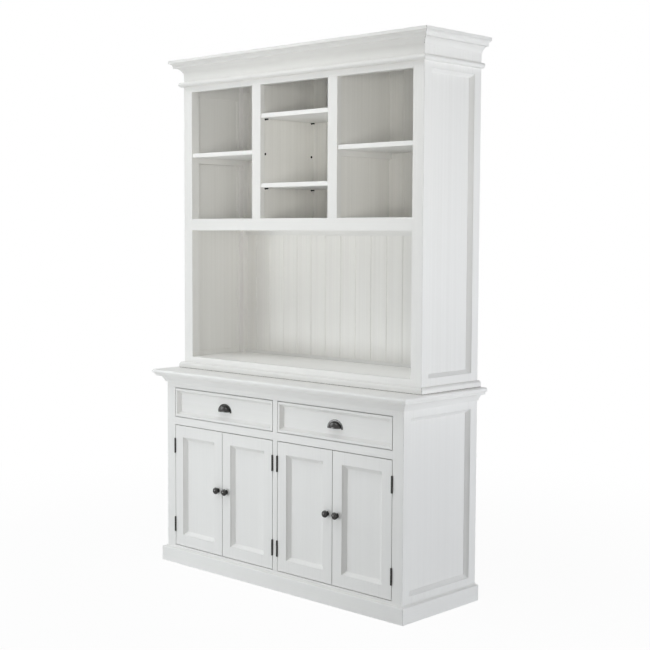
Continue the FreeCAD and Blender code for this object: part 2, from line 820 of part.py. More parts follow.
def make_shelf_pins():
    """Writes the pins that carry the base shelves and the middle shelves of the hutch."""
    pins = []
    for y in base_pin_places:
        pins.append(shelf_pin(half_partition, 1, y, base_pin_z))
        pins.append(shelf_pin(half_inside, -1, y, base_pin_z))
    for y in hutch_pin_places:
        for z in hutch_pin_heights:
            pins.append(shelf_pin(divider_inner, -1, y, z))
    save("shelf_pins", *pins, *[mirrored(pin) for pin in pins])


# Places of the shelf pins
base_pin_z = base_shelf_top - board_thickness - shelf_pin_radius
base_pin_places = [base_front + base_pin_front_inset, back_y - shelf_pin_back_inset]
hutch_pin_places = [hutch_front + shelf_pin_front_inset, back_y - shelf_pin_back_inset]
hutch_pin_heights = [top - board_thickness - shelf_pin_radius for top in (upper_shelf_top, lower_shelf_top)]

os.makedirs("parts", exist_ok=True)
make_plinth()
make_base_sides()
make_base_front()
make_base_inside()
make_base_top()
make_hinges()
make_doors()
make_drawers()
make_hutch_sides()
make_hutch_front()
make_hutch_inside()
make_hutch_back()
make_hutch_mouldings()
make_shelf_pins()
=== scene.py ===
"""Looks of the china cabinet: paint, wood, hardware, small fittings, floor, light and camera."""

import math
import random

import bmesh
import bpy
from mathutils import Matrix, Vector


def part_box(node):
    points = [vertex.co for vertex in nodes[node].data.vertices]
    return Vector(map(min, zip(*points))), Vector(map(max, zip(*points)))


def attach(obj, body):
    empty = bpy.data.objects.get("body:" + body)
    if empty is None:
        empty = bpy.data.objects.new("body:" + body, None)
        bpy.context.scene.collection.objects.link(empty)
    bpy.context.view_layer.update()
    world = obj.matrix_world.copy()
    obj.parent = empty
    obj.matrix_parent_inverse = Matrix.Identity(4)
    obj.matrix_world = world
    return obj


random.seed(7)
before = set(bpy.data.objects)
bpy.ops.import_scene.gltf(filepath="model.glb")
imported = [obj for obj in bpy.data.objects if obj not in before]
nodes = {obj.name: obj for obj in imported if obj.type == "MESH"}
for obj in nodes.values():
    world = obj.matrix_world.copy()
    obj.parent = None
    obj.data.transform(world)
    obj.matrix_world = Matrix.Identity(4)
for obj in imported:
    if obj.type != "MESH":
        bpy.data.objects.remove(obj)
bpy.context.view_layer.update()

# Corners of the solids that joints and fittings follow, in metres as all sizes here
base_side_low, base_side_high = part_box("base_side_frame_right")
hutch_side_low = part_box("hutch_side_frame_right")[0]
base_panel_low, base_panel_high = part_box("base_side_panels")
hutch_panel_low, hutch_panel_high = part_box("hutch_side_panels")
back_panel_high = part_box("hutch_back_panel")[1]
divider_low, divider_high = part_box("hutch_dividers")
door_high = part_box("door_1_frame")[1]
drawer_low, drawer_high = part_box("drawer_right_box")
pull_low, pull_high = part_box("drawer_right_pull")
pins_low, pins_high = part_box("hinge_pins")
leaf_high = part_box("hinge_frame_leaves")[1]
catch_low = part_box("door_catches")[0]

# Sizes of the solids that their corners don't give
panel_tongue = 0.009
door_frame_width = 0.0635
drawer_wall = 0.012
divider_thickness = 0.022
hinge_pin_length = 0.066
pull_foot_inset = 0.004
pull_foot_thickness = 0.0025
pole_rise = 0.0077
pin_hole_z = 1.776
front_pin_inset = 0.018
back_pin_inset = 0.013

# Places worked out from these, and the doors from left to right
door_numbers = (1, 2, 3, 4)
half_body = base_side_high.x
base_front = base_side_low.y
hutch_front = hutch_side_low.y
drawer_middle = (drawer_low.x + drawer_high.x) / 2
drawer_centre_y = (drawer_low.y + drawer_high.y) / 2
drawer_half_depth = (drawer_high.y - drawer_low.y) / 2
drawer_inner_y = drawer_low.y + drawer_wall
pull_foot = (pull_high.x - pull_low.x) / 2 - pull_foot_inset
pull_foot_y = pull_high.y - pull_foot_thickness
pull_z = pull_low.z + pull_foot_inset
hinge_bottoms = (pins_low.z, pins_high.z - hinge_pin_length)
pole_z = catch_low.z + pole_rise
divider_face = divider_high.x - divider_thickness
pin_hole_places = (divider_low.y + front_pin_inset, divider_high.y - back_pin_inset)

# Hairline joints: how far the one at a front edge lies behind it, how their width varies, and open limits
edge_seam = 0.001
seam_wobble = 0.0009
seam_shift = -0.00016
below_all = -1.0
above_all = 3.0

# How near to the rim of a front its painted shade of the gap lies
rim_reach = 0.0002

# Dovetails: how far inward of a wall its mask begins, and the pitch, slope and breadth of the tails
wall_margin = 0.00003
dovetail_pitch = 0.027
dovetail_slope = -8.0
dovetail_share = 0.4

# Small fittings: radius and rise of each kind of screw head, and how far all heads are sunk
hinge_screw = (0.0026, 0.0002)
pull_pin = (0.0022, 0.0009)
pull_bolt = (0.0042, 0.0022)
front_screw = (0.0038, 0.0005)
back_screw = (0.0034, 0.0004)
head_sink = 0.0003

# A screw head's dome, as shares of its radius and rise, and its slot, as shares of the radius and the rise
dome = [(0, 1), (0.4, 0.94), (0.75, 0.7), (0.95, 0.35), (1, 0)]
slot_reach = 0.62
slot_breadth = 0.24
slot_depth = 0.8

# Pressed plates: width, height and thickness of each kind, then shares that shape the rim and the dimple
pole_plate = (0.019, 0.009, 0.00008)
strike_plate = (0.021, 0.0115, 0.00012)
plate_rim = 0.06
plate_cut = 0.16
plate_shoulder = 0.4
dimple_share = 0.3
dimple_floor = 0.6
dimple_level = 0.3

# A sleeve's section, from the middle of its bore round to its foot: radius and height. The near-black sleeves
# stand for the shade inside the spare pin holes
sleeve_section = [
    (0, -0.0078), (0.0024, -0.0078), (0.0025, 0.0003), (0.003, 0.0006), (0.0048, 0.0005),
    (0.0052, 0.0), (0.0052, -0.0001), (0.0029, -0.0001), (0.0029, -0.0086), (0, -0.0086),
]

# Screws in a hinge leaf: the leaf's face beside the axis, and each screw's rise and inset from the back edge
leaf_gap = 0.0003
hinge_screws = [(0.0105, 0.0117), (0.033, 0.0067), (0.0555, 0.0117)]

# Screws in a drawer front and poles of a catch, from the middle of the drawer
drawer_screw_x = 0.23
drawer_screw_rises = (0.0329, 0.0839)
pole_x = 0.0145

# Screws in the back panels: the inset of the outer ones, the heights of all, and the x of the others
back_edge_inset = 0.0055
hutch_edge_heights = (0.88, 1.13, 1.38, 1.64, 1.9, 2.15)
hutch_row_heights = (0.893, 1.499, 2.187)
hutch_row_x = (0.157, 0.47)
base_edge_heights = (0.09, 0.3, 0.52, 0.73)
base_row_height = 0.067
base_row_x = (0.2, 0.44)
base_middle_heights = (0.2, 0.42, 0.66)

# Camera, from the fit to the photograph
camera_place = (3.6485, -3.7618, 1.446)
camera_yaw = 43.432
camera_pitch = 4.113
camera_roll = 0.247
camera_lens = 70.367
sensor_width = 36.0

# Colours, in linear light. A pair of tones is a light and a deep one
plain_tones = ((0.905, 0.90, 0.878, 1), (0.87, 0.864, 0.84, 1))
# A lighter, warmer copy of the paint for the cubby walls: painted bounce light
painted_bounce_tones = ((0.932, 0.925, 0.894, 1), (0.902, 0.893, 0.859, 1))
# A lighter copy of the paint for the shelves and the base top: painted light on their fronts and tops
painted_light_tones = ((0.96, 0.955, 0.932, 1), (0.93, 0.924, 0.9, 1))
paint_worn = (0.80, 0.79, 0.765, 1)
streak_colour = (0.42, 0.40, 0.36, 1)
# Dark colour of the joints, also used for painted shade: in the gaps round the fronts and under the hutch's
# foot
joint_and_shade_colour = (0.22, 0.20, 0.18, 1)
pewter_dark = (0.048, 0.047, 0.046, 1)
pewter_rubbed = (0.26, 0.255, 0.245, 1)
steel_dark = (0.045, 0.044, 0.042, 1)
steel_rubbed = (0.17, 0.165, 0.155, 1)
# Near-black steel of the pin-hole sleeves: painted shade inside the spare holes
hole_shade_black = (0.012, 0.012, 0.012, 1)
hole_shade_black_rubbed = (0.03, 0.03, 0.029, 1)
zinc_dark = (0.33, 0.33, 0.32, 1)
zinc_rubbed = (0.6, 0.6, 0.59, 1)
pine_pale = (0.66, 0.45, 0.25, 1)
pine_deep = (0.42, 0.24, 0.11, 1)
pine_end = (0.25, 0.13, 0.06, 1)
plastic_colour = (0.55, 0.53, 0.49, 1)
plastic_deep = 0.86
white = (1, 1, 1, 1)
floor_colour = (0.82, 0.82, 0.82, 1)
floor_cloud = (0.80, 0.80, 0.80, 1)
world_colour = (0.99, 0.995, 1.0, 1)

# The way that a fitting looks: to the front or to the back of the cabinet
ahead = (0, -1, 0)
behind = (0, 1, 0)

# The way a grain or a brush stroke runs
along_x = 0
along_y = 1
along_z = 2

# How strongly a texture is drawn out along the grain: less is longer
paint_stretch = 0.035
fibre_stretch = 0.2
ring_stretch = 0.08
wood_fibre_stretch = 0.02
knot_stretch = 0.6

# Noise textures: scale, detail and roughness
stroke_noise = (900.0, 3.0, 0.6)
grain_noise = (130.0, 3.0, 0.55)
cloud_noise = (2.6, 2.0, 0.5)
speck_noise = (700.0, 1.0, 0.5)
fibre_noise = (75.0, 4.0, 0.7)
wobble_noise = (260.0, 2.0, 0.5)
cast_noise = (190.0, 3.0, 0.5)
grit_noise = (1900.0, 2.0, 0.5)
bend_noise = (9.0, 2.0, 0.5)
wood_fibre_noise = (700.0, 3.0, 0.5)
moulded_noise = (1500.0, 2.0, 0.5)
plastic_noise = (30.0, 2.0, 0.5)
floor_noise = (1.3, 2.0, 0.5)
ring_wave = {"Scale": 26.0, "Distortion": 5.0, "Detail": 2.0, "Detail Scale": 1.4}
knot_scale = 7.0

# Contrasts: what a texture's value is multiplied by and what is added to it
cloud_tone = (0.9, -0.22)
fibre_contrast = (4.0, -1.6)
wear_contrast = (3.4, -1.0)
stroke_roughness = (0.16, 0.36)
rub_contrast = (6.0, -1.2)
skin_contrast = (0.8, -0.3)
pine_fibre_tone = (0.4, -0.12)
pine_roughness = (0.2, 0.4)
plastic_roughness = (0.15, 0.5)

# Shares with which one texture joins another
grain_tone = 0.55
stroke_height = 0.5
grain_height = 0.5
speck_height = 0.12
wear_top = 0.6
# How dark the narrow faces round a front are painted: painted shade of the gap beside them
gap_shade_share = 0.5
paint_gloss = 0.35
skin_share = 0.35
cast_roughness = 0.16
grit_height = 0.5
ring_tone = 0.55
knot_size = 0.16
knot_tone = 0.8
end_tone = 0.55

# Bumps, as strength and depth, and the rounding of edges in metres
paint_bump = (0.32, 0.0004)
pine_bump = (0.25, 0.0004)
plastic_bump = (0.2, 0.0003)
metal_bump_depth = 0.0005
paint_rounding = 0.0016
metal_rounding = 0.0009
board_rounding = 0.0012

# The floor's size and how white the camera sees it, and the strength of the surrounding
floor_size = 30.0
floor_whiteness = 0.96
shadow_reach = 0.9
shadow_end = 3.2
world_strength = 0.1375

# Each lamp's name, place, the point that it shines at, size, power, colour and spread
lamps = [
    ("left_high", (-7.0, -4.2, 5.0), (0, 0, 1.0), 4.0, 158.0, (0.935, 0.972, 1.0), 180.0),
    ("near_low", (-1.8, -3.0, 0.3), (0, -0.2, 0.35), 1.2, 19.3, (0.935, 0.972, 1.0), 120.0),
    ("right", (5.0, 2.2, 0.6), (0, 0, 0.8), 2.4, 160.0, (0.92, 0.95, 1.0), 180.0),
    ("back_right", (4.0, 4.5, 0.9), (0.6, 0, 0.9), 2.4, 12.0, (0.92, 0.95, 1.0), 180.0),
    ("top", (0.0, -2.4, 6.0), (0, 0, 1.0), 3.0, 106.0, (0.96, 0.98, 1.0), 180.0),
    ("cubby_fill", (2.9, -3.3, 1.5), (-0.3, -0.1, 1.95), 1.6, 2.8, (1.0, 0.985, 0.94), 36.0),
    ("side_fill", (4.0, -2.7, 1.6), (-0.55, -0.1, 1.85), 1.2, 0.9, (1.0, 0.985, 0.94), 32.0),
]


def add(tree, kind, inputs=None, **settings):
    """Adds a shader node. An input's value is a number, a colour or another node's output."""
    made = tree.nodes.new(kind)
    for key, value in settings.items():
        setattr(made, key, value)
    for key, value in (inputs or {}).items():
        if isinstance(value, bpy.types.NodeSocket):
            tree.links.new(value, made.inputs[key])
        else:
            made.inputs[key].default_value = value
    return made


def calc(tree, operation, a, b=0.0, c=0.0):
    """Adds a math node and gives its output."""
    return add(tree, "ShaderNodeMath", {0: a, 1: b, 2: c}, operation=operation).outputs[0]


def scaled(tree, value, factor, offset):
    """Multiplies a value by a factor and adds an offset, each a number or another value."""
    return calc(tree, "MULTIPLY_ADD", value, factor, offset)


def distance(tree, value, target):
    """Gives how far a value lies from a target."""
    return calc(tree, "ABSOLUTE", calc(tree, "SUBTRACT", value, target))


def clamped(tree, value, top=1.0):
    """Keeps a value between zero and a top."""
    return add(tree, "ShaderNodeClamp", {"Value": value, "Max": top}).outputs[0]


def split(tree, vector):
    """Gives the three outputs with a vector's x, y and z."""
    return add(tree, "ShaderNodeSeparateXYZ", {"Vector": vector}).outputs


def blend_colour(tree, share, a, b):
    """Adds a colour mix and gives its output."""
    made = add(tree, "ShaderNodeMix", {"Factor": share}, data_type="RGBA")
    for key, value in (("A", a), ("B", b)):
        socket = next(s for s in made.inputs if s.name == key and s.type == "RGBA")
        if isinstance(value, bpy.types.NodeSocket):
            tree.links.new(value, socket)
        else:
            socket.default_value = value
    return next(s for s in made.outputs if s.type == "RGBA")


def noise(tree, vector, scale, detail, roughness):
    """Adds a noise texture and gives its value."""
    inputs = {"Vector": vector, "Scale": scale, "Detail": detail, "Roughness": roughness}
    return add(tree, "ShaderNodeTexNoise", inputs).outputs[0]


def stretched(tree, vector, axis, share):
    """Stretches the coordinates along one axis, so that a texture runs along it."""
    scale = [1.0, 1.0, 1.0]
    scale[axis] = share
    return add(tree, "ShaderNodeMapping", {"Vector": vector, "Scale": scale}).outputs[0]


def bumped(tree, strength, depth, height, normal):
    """Adds a bump and gives its normal."""
    inputs = {"Strength": strength, "Distance": depth, "Height": height, "Normal": normal}
    return add(tree, "ShaderNodeBump", inputs).outputs[0]


def new_material(name):
    """Makes a material with a shader and gives it, its tree, the shader and the object's coordinates."""
    material = bpy.data.materials.new(name)
    material.use_nodes = True
    tree = material.node_tree
    tree.nodes.clear()
    shader = add(tree, "ShaderNodeBsdfPrincipled")
    add(tree, "ShaderNodeOutputMaterial", {"Surface": shader.outputs[0]})
    place = add(tree, "ShaderNodeTexCoord").outputs["Object"]
    return material, tree, shader, place


def connect(tree, shader, colour, roughness, normal):
    """Links what was made to the shader."""
    tree.links.new(colour, shader.inputs["Base Color"])
    tree.links.new(roughness, shader.inputs["Roughness"])
    tree.links.new(normal, shader.inputs["Normal"])


def edge_mask(tree, radius):
    """Gives a value above zero near the edges of a solid, and the rounded normal there."""
    rounded = add(tree, "ShaderNodeBevel", {"Radius": radius}, samples=4).outputs[0]
    flat = add(tree, "ShaderNodeNewGeometry").outputs["Normal"]
    both = {0: rounded, 1: flat}
    same = add(tree, "ShaderNodeVectorMath", both, operation="DOT_PRODUCT").outputs["Value"]
    return calc(tree, "SUBTRACT", 1.0, same), rounded


def seam_mask(tree, place, seams, breadth):
    """Gives a mask of hairline joints, and of any line of painted contact shade listed with them.

    A seam is a coordinate, its value there, and where needed the coordinate and limits between which it runs.
    The coordinate "m" is |x| + y, which is constant along a mitre. breadth makes the joints wider or finer.
    """
    parts = split(tree, place)
    wobble = noise(tree, place, *wobble_noise)
    values = {"x": parts[0], "y": parts[1], "z": parts[2]}
    values["m"] = calc(tree, "ADD", calc(tree, "ABSOLUTE", parts[0]), parts[1])
    total = 0.0
    for seam in seams:
        away = distance(tree, values[seam[0]], seam[1])
        width = scaled(tree, wobble, seam_wobble * breadth, seam_shift * breadth)
        mask = calc(tree, "LESS_THAN", away, width)
        if len(seam) > 2:
            mask = calc(tree, "MULTIPLY", mask, calc(tree, "GREATER_THAN", values[seam[2]], seam[3]))
            mask = calc(tree, "MULTIPLY", mask, calc(tree, "LESS_THAN", values[seam[2]], seam[4]))
        total = calc(tree, "MAXIMUM", total, mask)
    return total


def rim_mask(tree, place, low, high):
    """Gives a mask of the four narrow faces round a front, which are darkened as painted shade of the gap
    beside it.
    """
    parts = split(tree, place)
    total = 0.0
    for axis in (along_x, along_z):
        for limit in (low[axis], high[axis]):
            away = distance(tree, parts[axis], limit)
            total = calc(tree, "MAXIMUM", total, calc(tree, "LESS_THAN", away, rim_reach))
    return total


def stroke_place(tree, place, axis, mitre):
    """Gives coordinates drawn out along an axis, and along Y on the sides of a run of mouldings."""
    along = stretched(tree, place, axis, paint_stretch)
    if mitre is None:
        return along
    parts = split(tree, place)
    corner = calc(tree, "ADD", calc(tree, "ABSOLUTE", parts[0]), parts[1])
    on_side = calc(tree, "GREATER_THAN", corner, mitre)
    return blend_colour(tree, on_side, along, stretched(tree, place, along_y, paint_stretch))


def paint(
    name, axis, seams=(), mitre=None, breadth=1.0, depth=0.18, streaks=0.03, rim=None, tones=plain_tones
):
    """Makes brushed satin paint over wood. axis is the way the grain and the brush strokes run.

    mitre is the value of |x| + y at the corners of a run of mouldings, whose sides run along Y. breadth and
    depth say how wide and how dark the joints are, and streaks how much the grain shows through. rim is the
    box of a front whose narrow faces get painted shade of the gap. tones are the light and the deep tone of
    the paint.
    """
    material, tree, shader, place = new_material(name)
    along = stroke_place(tree, place, axis, mitre)
    strokes = noise(tree, along, *stroke_noise)
    grain = noise(tree, along, *grain_noise)
    tone = scaled(tree, noise(tree, place, *cloud_noise), *cloud_tone)
    tone = clamped(tree, scaled(tree, grain, grain_tone, tone))
    colour = blend_colour(tree, tone, *tones)
    fibre = noise(tree, stretched(tree, along, axis, fibre_stretch), *fibre_noise)
    fibre = clamped(tree, scaled(tree, fibre, *fibre_contrast))
    colour = blend_colour(tree, calc(tree, "MULTIPLY", fibre, streaks), colour, streak_colour)
    edge, rounded = edge_mask(tree, paint_rounding)
    worn = calc(tree, "MULTIPLY", edge, scaled(tree, grain, *wear_contrast))
    colour = blend_colour(tree, clamped(tree, worn, wear_top), colour, paint_worn)
    height = scaled(tree, strokes, stroke_height, calc(tree, "MULTIPLY", grain, grain_height))
    height = scaled(tree, noise(tree, place, *speck_noise), speck_height, height)
    # Dark joints; a seam listed at the foot of the hutch's base moulding is a line of painted contact shade
    if seams:
        gap = seam_mask(tree, place, seams, breadth)
        colour = blend_colour(tree, calc(tree, "MULTIPLY", gap, depth), colour, joint_and_shade_colour)
        height = scaled(tree, gap, -depth, height)
    # The narrow faces round a front are darkened: painted shade of the gap beside it
    if rim:
        gap_shade = calc(tree, "MULTIPLY", rim_mask(tree, place, *rim), gap_shade_share)
        colour = blend_colour(tree, gap_shade, colour, joint_and_shade_colour)
    normal = bumped(tree, *paint_bump, height, rounded)
    connect(tree, shader, colour, scaled(tree, strokes, *stroke_roughness), normal)
    shader.inputs["Specular IOR Level"].default_value = paint_gloss
    return material


def metal(name, dark, rubbed, rough, grit):
    """Makes a metal that is rubbed brighter on its edges, with the fine skin of a casting."""
    material, tree, shader, place = new_material(name)
    edge, rounded = edge_mask(tree, metal_rounding)
    cast = noise(tree, place, *cast_noise)
    fine = noise(tree, place, *grit_noise)
    rub = calc(tree, "MULTIPLY", edge, scaled(tree, cast, *rub_contrast))
    rub = clamped(tree, scaled(tree, scaled(tree, cast, *skin_contrast), skin_share, rub))
    colour = blend_colour(tree, rub, dark, rubbed)
    height = scaled(tree, fine, grit_height, cast)
    normal = bumped(tree, grit, metal_bump_depth, height, rounded)
    connect(tree, shader, colour, scaled(tree, cast, cast_roughness, rough), normal)
    shader.inputs["Metallic"].default_value = 1.0
    return material


def dovetail_masks(tree, place):
    """Gives the mask of a drawer's side walls, and that of the end grain between the tails at their ends."""
    parts = split(tree, place)
    inside = drawer_high.x - drawer_middle - drawer_wall - wall_margin
    across = distance(tree, calc(tree, "ABSOLUTE", parts[0]), drawer_middle)
    side = calc(tree, "GREATER_THAN", across, inside)
    into_end = calc(tree, "SUBTRACT", drawer_half_depth, distance(tree, parts[1], drawer_centre_y))
    rise = calc(tree, "DIVIDE", calc(tree, "SUBTRACT", parts[2], drawer_low.z), dovetail_pitch)
    swing = distance(tree, calc(tree, "FRACT", rise), 0.5)
    tail = calc(tree, "LESS_THAN", swing, scaled(tree, into_end, dovetail_slope, dovetail_share))
    at_end = calc(tree, "LESS_THAN", into_end, drawer_wall)
    return side, calc(tree, "MULTIPLY", at_end, calc(tree, "SUBTRACT", 1.0, tail))


def pine(name, axis, dovetailed=False):
    """Makes bare varnished pine with knots. Its grain runs along one axis, or along each wall of a drawer."""
    material, tree, shader, place = new_material(name)
    if dovetailed:
        side, end_grain = dovetail_masks(tree, place)
        quarter = {"Vector": place, "Rotation": (0, 0, math.radians(90))}
        turned = add(tree, "ShaderNodeMapping", quarter).outputs[0]
        place = blend_colour(tree, side, place, turned)
    along = stretched(tree, place, axis, ring_stretch)
    way = "XYZ"[axis]
    wave = {"Vector": along, **ring_wave}
    rings = add(tree, "ShaderNodeTexWave", wave, wave_type="RINGS", rings_direction=way).outputs["Fac"]
    fibres = noise(tree, stretched(tree, place, axis, wood_fibre_stretch), *wood_fibre_noise)
    hearts = {"Vector": stretched(tree, place, axis, knot_stretch), "Scale": knot_scale}
    from_heart = add(tree, "ShaderNodeTexVoronoi", hearts).outputs[0]
    bend = noise(tree, along, *bend_noise)
    knot = calc(tree, "LESS_THAN", from_heart, calc(tree, "MULTIPLY", bend, knot_size))
    tone = scaled(tree, rings, ring_tone, scaled(tree, fibres, *pine_fibre_tone))
    tone = clamped(tree, scaled(tree, knot, knot_tone, tone))
    colour = blend_colour(tree, tone, pine_pale, pine_deep)
    if dovetailed:
        shown = calc(tree, "MULTIPLY", calc(tree, "MULTIPLY", side, end_grain), end_tone)
        colour = blend_colour(tree, shown, colour, pine_end)
    normal = bumped(tree, *pine_bump, fibres, edge_mask(tree, board_rounding)[1])
    connect(tree, shader, colour, scaled(tree, fibres, *pine_roughness), normal)
    return material


def plastic(name):
    """Makes a matte plastic with a fine moulded grain."""
    material, tree, shader, place = new_material(name)
    fine = noise(tree, place, *moulded_noise)
    darker = tuple(plastic_deep * c for c in plastic_colour[:3]) + (1,)
    colour = blend_colour(tree, noise(tree, place, *plastic_noise), plastic_colour, darker)
    normal = bumped(tree, *plastic_bump, fine, edge_mask(tree, board_rounding)[1])
    connect(tree, shader, colour, scaled(tree, fine, *plastic_roughness), normal)
    return material


# Materials that several nodes share
pewter = metal("pewter", pewter_dark, pewter_rubbed, rough=0.12, grit=0.11)
steel = metal("aged_steel", steel_dark, steel_rubbed, rough=0.28, grit=0.1)
bright_steel = metal("bright_steel", zinc_dark, zinc_rubbed, rough=0.25, grit=0.08)
# The near-black steel stands for the shade inside the spare pin holes
hole_shade_steel = metal("hole_shade_steel", hole_shade_black, hole_shade_black_rubbed, rough=0.35, grit=0.08)
box_wood = pine("box_pine", along_x, dovetailed=True)
floor_wood = pine("drawer_floor_pine", along_x)
plain_paint = [paint("paint_along_" + "xyz"[axis], axis) for axis in (along_x, along_y, along_z)]
# The lighter, warmer copy of the paint: painted bounce light
inner_paint_painted_bounce = paint("inner_paint_painted_bounce", along_z, streaks=0.09, tones=painted_bounce_tones)
# The lighter copy of the paint: painted light
painted_light_shelf_paint = paint("painted_light_shelf_paint", along_x, tones=painted_light_tones)


def dress(node, material):
    """Gives a CAD node its material."""
    slots = nodes[node].data.materials
    slots.clear()
    slots.append(material)
    for face in nodes[node].data.polygons:
        face.material_index = 0


def dress_boards():
    """Paints the plain boards, panels and shelves, whose grain runs along their length."""
    for node in ("base_bottom_board", "base_shelves", "hutch_deck", "hutch_roof", "hutch_back_rails"):
        dress(node, plain_paint[along_x])
    # The shelves and the base top get the lighter copy of the paint: painted light
    for node in ("base_top", "hutch_bottom_board", "hutch_side_shelves", "hutch_middle_shelves"):
        dress(node, painted_light_shelf_paint)
    dress("shelf_cleats", plain_paint[along_y])
    for node in ("base_partition", "base_back_panel"):
        dress(node, plain_paint[along_z])
    # The dividers and the back panel get the lighter, warmer copy of the paint: painted bounce light
    for node in ("hutch_dividers", "hutch_back_panel"):
        dress(node, inner_paint_painted_bounce)
    dress("base_side_panels", paint("base_side_paint", along_z, streaks=0.045))
    dress("hutch_side_panels", paint("grainy_paint", along_z, streaks=0.07))


def dress_rails():
    """Paints the rails and stiles of the fronts, with a hairline joint at both ends."""
    for axis, names in (
        (along_x, ("base_front_rails", "hutch_top_rail", "hutch_middle_rail", "hutch_bottom_rail")),
        (along_z, ("base_middle_stile", "hutch_mullions")),
    ):
        for node in names:
            seams = [("xyz"[axis], corner[axis]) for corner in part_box(node)]
            dress(node, paint(node + "_paint", axis, seams))


def dress_side_frames():
    """Paints the side frames, with joints at the front and where the rails meet the posts."""
    for name, front, panel_low, panel_high in (
        ("base_side_frame_", base_front, base_panel_low, base_panel_high),
        ("hutch_side_frame_", hutch_front, hutch_panel_low, hutch_panel_high),
    ):
        seams = [("y", front + edge_seam)]
        for y in (panel_low.y + panel_tongue, panel_high.y - panel_tongue):
            seams.append(("y", y, "z", below_all, panel_low.z + panel_tongue))
            seams.append(("y", y, "z", panel_high.z - panel_tongue, above_all))
        for side in ("left", "right"):
            dress(name + side, paint(name + side + "_paint", along_z, seams, depth=0.3))


def dress_doors():
    """Paints the doors, with joints between rails and stiles, and gives them their knobs and hinges."""
    for number in door_numbers:
        node = "door_%d_frame" % number
        low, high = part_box(node)
        seams = []
        for x in (low.x + door_frame_width, high.x - door_frame_width):
            seams.append(("x", x, "z", below_all, low.z + door_frame_width))
            seams.append(("x", x, "z", high.z - door_frame_width, above_all))
        # The door's narrow edges get painted shade of the gaps round it
        dress(node, paint(node + "_paint", along_z, seams, rim=(low, high)))
        dress("door_%d_panel" % number, plain_paint[along_z])
        dress("door_%d_knob" % number, pewter)
        dress("door_%d_hinge_leaves" % number, steel)


def dress_drawers():
    """Paints the drawer fronts and gives the drawers their wood and pulls."""
    for side in ("left", "right"):
        node = "drawer_%s_front" % side
        # The drawer front's narrow edges get painted shade of the gaps round it
        dress(node, paint(node + "_paint", along_x, rim=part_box(node)))
        dress("drawer_%s_box" % side, box_wood)
        dress("drawer_%s_bottom" % side, floor_wood)
        dress("drawer_%s_pull" % side, pewter)


def dress_mouldings():
    """Paints the runs of mouldings, with mitres as wide and dark as each row says, and painted contact shade
    at the hutch's foot.
    """
    # Height of the foot of the hutch's base moulding, where a line of painted contact shade runs
    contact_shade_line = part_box("hutch_base_moulding")[0].z
    for node, front, breadth, depth, more in (
        ("plinth_boards", base_front, 1.2, 0.6, []),
        ("base_top_moulding", base_front, 1.2, 0.6, []),
        ("hutch_base_moulding", hutch_front, 3.4, 0.85, [("z", contact_shade_line)]),
        ("bead_moulding", hutch_front, 1.2, 0.6, []),
        ("crown_moulding", hutch_front, 3.0, 0.95, []),
    ):
        corner = half_body + front
        seams = [("m", corner)] + more
        dress(node, paint(node + "_paint", along_x, seams, corner, breadth, depth))


def dress_fittings():
    """Gives the runners, catches, hinges and pins their materials."""
    dress("drawer_runners", pine("runner_pine", along_y))
    dress("door_catches", plastic("catch_plastic"))
    for node in ("hinge_frame_leaves", "hinge_pins", "shelf_pins"):
        dress(node, steel)


def lathe(rings, steps=20):
    """Turns a section about the Z axis. It is given as radius and height pairs from the top of the axis."""
    shape = bmesh.new()
    rows = []
    for radius, height in rings:
        if radius == 0:
            rows.append([shape.verts.new((0, 0, height))] * steps)
            continue
        angles = [2 * math.pi * step / steps for step in range(steps)]
        circle = [(radius * math.cos(angle), radius * math.sin(angle), height) for angle in angles]
        rows.append([shape.verts.new(point) for point in circle])
    for upper, lower in zip(rows, rows[1:]):
        for step in range(steps):
            after = (step + 1) % steps
            corners = [upper[step], lower[step], lower[after], upper[after]]
            shape.faces.new(list(dict.fromkeys(corners)))
    bmesh.ops.recalc_face_normals(shape, faces=shape.faces[:])
    return shape


def screw_head(radius, rise):
    """Makes the low domed head of a screw with a cross slot, a little sunk in what it holds."""
    rings = [(out * radius, up * rise) for out, up in dome]
    shape = lathe(rings + [(radius, -head_sink), (0, -head_sink)])
    reach = slot_reach * radius
    half = slot_breadth * radius / 2
    for axis in (Vector((1, 0, 0)), Vector((0, 1, 0))):
        for place in (-reach, -half, half, reach):
            whole = shape.verts[:] + shape.edges[:] + shape.faces[:]
            bmesh.ops.bisect_plane(shape, geom=whole, plane_co=axis * place, plane_no=axis)
    shape.normal_update()
    slot = []
    for face in shape.faces:
        middle = face.calc_center_median()
        near, far = sorted(abs(v) for v in middle[:2])
        if face.normal.z > 0 and middle.z > 0 and near < half and far < reach:
            slot.append(face)
    made = bmesh.ops.extrude_face_region(shape, geom=slot)["geom"]
    deep = [item for item in made if isinstance(item, bmesh.types.BMVert)]
    bmesh.ops.translate(shape, verts=deep, vec=(0, 0, -slot_depth * rise))
    bmesh.ops.delete(shape, geom=slot, context="FACES")
    return shape


